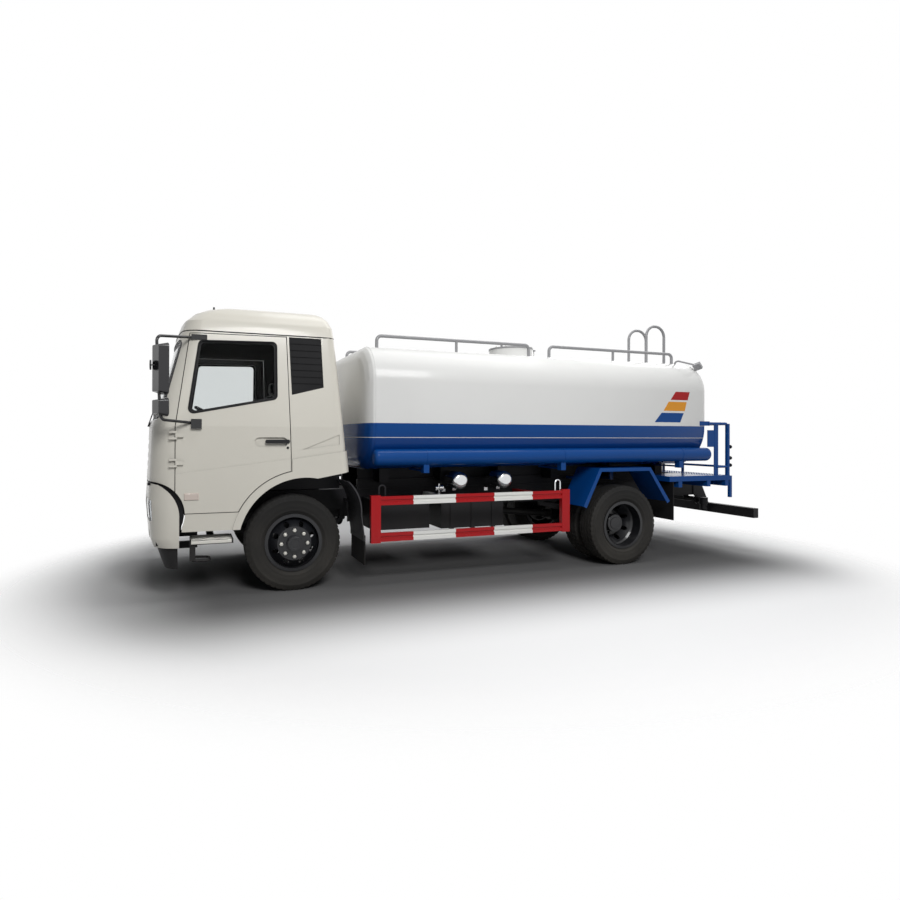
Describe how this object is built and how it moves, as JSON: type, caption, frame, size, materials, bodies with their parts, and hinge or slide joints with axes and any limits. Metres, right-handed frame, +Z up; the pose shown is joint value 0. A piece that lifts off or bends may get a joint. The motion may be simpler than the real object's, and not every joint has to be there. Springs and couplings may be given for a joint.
{
  "type": "water tanker truck",
  "caption": "Cab-over water tanker truck with a rounded tank, side hose tubes, rear platform and ladder, tilting cab, doors, steering and turning wheels.",
  "frame": {"origin": "on the ground under the middle of the overall length and width", "axes": "+X forward, +Y to the truck's left, +Z up"},
  "size_m": [8.0298, 2.928, 3.34],
  "materials": {
    "cab_white": "gloss ivory paint",
    "cab_inner": "matt grey paint and mats",
    "black_plastic": "grained black plastic",
    "seat_fabric": "woven dark grey cloth",
    "clear_glass": "clear tinted glass",
    "lamp_glass": "clear lamp lens",
    "chassis_black": "satin black chassis paint",
    "engine_iron": "cast grey",
    "tank_white": "gloss white paint with a blue lower band",
    "tank_blue": "gloss blue paint",
    "rail_steel": "grey paint on steel tube",
    "reservoir_silver": "bright brushed metal",
    "guard_red": "gloss red paint with white bands",
    "tyre_rubber": "black rubber",
    "flap_rubber": "black rubber sheet"
  },
  "bodies": {
    "chassis": {"air_reservoirs": "reservoir_silver", "axles": "chassis_black", "battery_box": "black_plastic", "cab_steps": "black_plastic", "chassis_frame": "chassis_black", "drivetrain": "engine_iron", "exhaust": "chassis_black", "front_beam": "chassis_black", "front_bumper": "cab_white", "front_lamps": "lamp_glass", "front_mudguards": "black_plastic", "fuel_tank": "reservoir_silver", "hose_tubes": "tank_blue", "leaf_springs": "chassis_black", "mud_flaps": "flap_rubber", "platform_railing": "tank_blue", "rear_fenders": "tank_blue", "rear_ladder": "rail_steel", "rear_lamps": "lamp_glass", "rear_platform": "tank_blue", "rear_underrun_bar": "chassis_black", "side_guards": "guard_red", "tank": "tank_white", "tank_handrails": "rail_steel", "tank_subframe": "chassis_black", "water_pipes": "chassis_black", "work_lamp": "black_plastic"},
    "cab": {"cab_floor": "cab_inner", "cab_back_wall": "cab_white", "cab_front": "cab_white", "cab_front_panel": "cab_white", "cab_side_panels": "cab_white", "cab_roof": "cab_white", "side_louvres": "black_plastic", "windscreen": "clear_glass", "dashboard": "black_plastic", "seats": "seat_fabric", "wipers": "black_plastic"},
    "door_left": {"door_left": "cab_white", "door_glass_left": "clear_glass", "door_handle_left": "black_plastic", "mirror_left": "black_plastic"},
    "door_right": {"door_right": "cab_white", "door_glass_right": "clear_glass", "door_handle_right": "black_plastic", "mirror_right": "black_plastic"},
    "steering_wheel": {"steering_wheel": "black_plastic"},
    "knuckle_left": {"knuckle_left": "chassis_black"},
    "knuckle_right": {"knuckle_right": "chassis_black"},
    "tie_rod": {"tie_rod": "chassis_black"},
    "front_wheel_left": {"front_tyre_left": "tyre_rubber", "front_rim_left": "chassis_black"},
    "front_wheel_right": {"front_tyre_right": "tyre_rubber", "front_rim_right": "chassis_black"},
    "rear_wheels_left": {"rear_tyres_left": "tyre_rubber", "rear_rims_left": "chassis_black"},
    "rear_wheels_right": {"rear_tyres_right": "tyre_rubber", "rear_rims_right": "chassis_black"},
    "manhole_lid": {"manhole_lid": "rail_steel"}
  },
  "joints": [
    {"name": "cab_tilt", "type": "hinge", "parent": "chassis", "child": "cab", "pos_m": [3.923, 0, 0.86], "axis": [0, 1, 0], "range_deg": [0, 45]},
    {"name": "door_left_swing", "type": "hinge", "parent": "cab", "child": "door_left", "pos_m": [3.68, 1.17, 1.5], "axis": [0, 0, -1], "range_deg": [0, 65]},
    {"name": "door_right_swing", "type": "hinge", "parent": "cab", "child": "door_right", "pos_m": [3.68, -1.17, 1.5], "axis": [0, 0, 1], "range_deg": [0, 65]},
    {"name": "steer_left", "type": "hinge", "parent": "chassis", "child": "knuckle_left", "pos_m": [2.515, 0.82, 0.506], "axis": [0, 0, 1], "range_deg": [-38, 38]},
    {"name": "steer_right", "type": "hinge", "parent": "chassis", "child": "knuckle_right", "pos_m": [2.515, -0.82, 0.506], "axis": [0, 0, 1], "range_deg": [-38, 38]},
    {"name": "tie_rod_pivot", "type": "hinge", "parent": "knuckle_left", "child": "tie_rod", "pos_m": [2.3, 0.82, 0.4], "axis": [0, 0, 1], "range_deg": [-38, 38]},
    {"name": "steering_wheel_turn", "type": "hinge", "parent": "cab", "child": "steering_wheel", "pos_m": [3.305, 0.56, 1.83], "axis": [-0.5, 0, 0.866], "range_deg": [-684, 684]},
    {"name": "front_left_spin", "type": "hinge", "parent": "knuckle_left", "child": "front_wheel_left", "pos_m": [2.515, 0.94, 0.506], "axis": [0, 1, 0], "continuous": true},
    {"name": "front_right_spin", "type": "hinge", "parent": "knuckle_right", "child": "front_wheel_right", "pos_m": [2.515, -0.94, 0.506], "axis": [0, 1, 0], "continuous": true},
    {"name": "rear_left_spin", "type": "hinge", "parent": "chassis", "child": "rear_wheels_left", "pos_m": [-1.685, 0.9, 0.506], "axis": [0, 1, 0], "continuous": true},
    {"name": "rear_right_spin", "type": "hinge", "parent": "chassis", "child": "rear_wheels_right", "pos_m": [-1.685, -0.9, 0.506], "axis": [0, 1, 0], "continuous": true},
    {"name": "manhole_lid_open", "type": "hinge", "parent": "chassis", "child": "manhole_lid", "pos_m": [-1.085, 0, 2.862], "axis": [0, -1, 0], "range_deg": [0, 100]}
  ],
  "couplings": [
    {"joint": "steer_right", "follows": "steer_left", "ratio": 1},
    {"joint": "tie_rod_pivot", "follows": "steer_left", "ratio": -1},
    {"joint": "steering_wheel_turn", "follows": "steer_left", "ratio": 18}
  ]
}
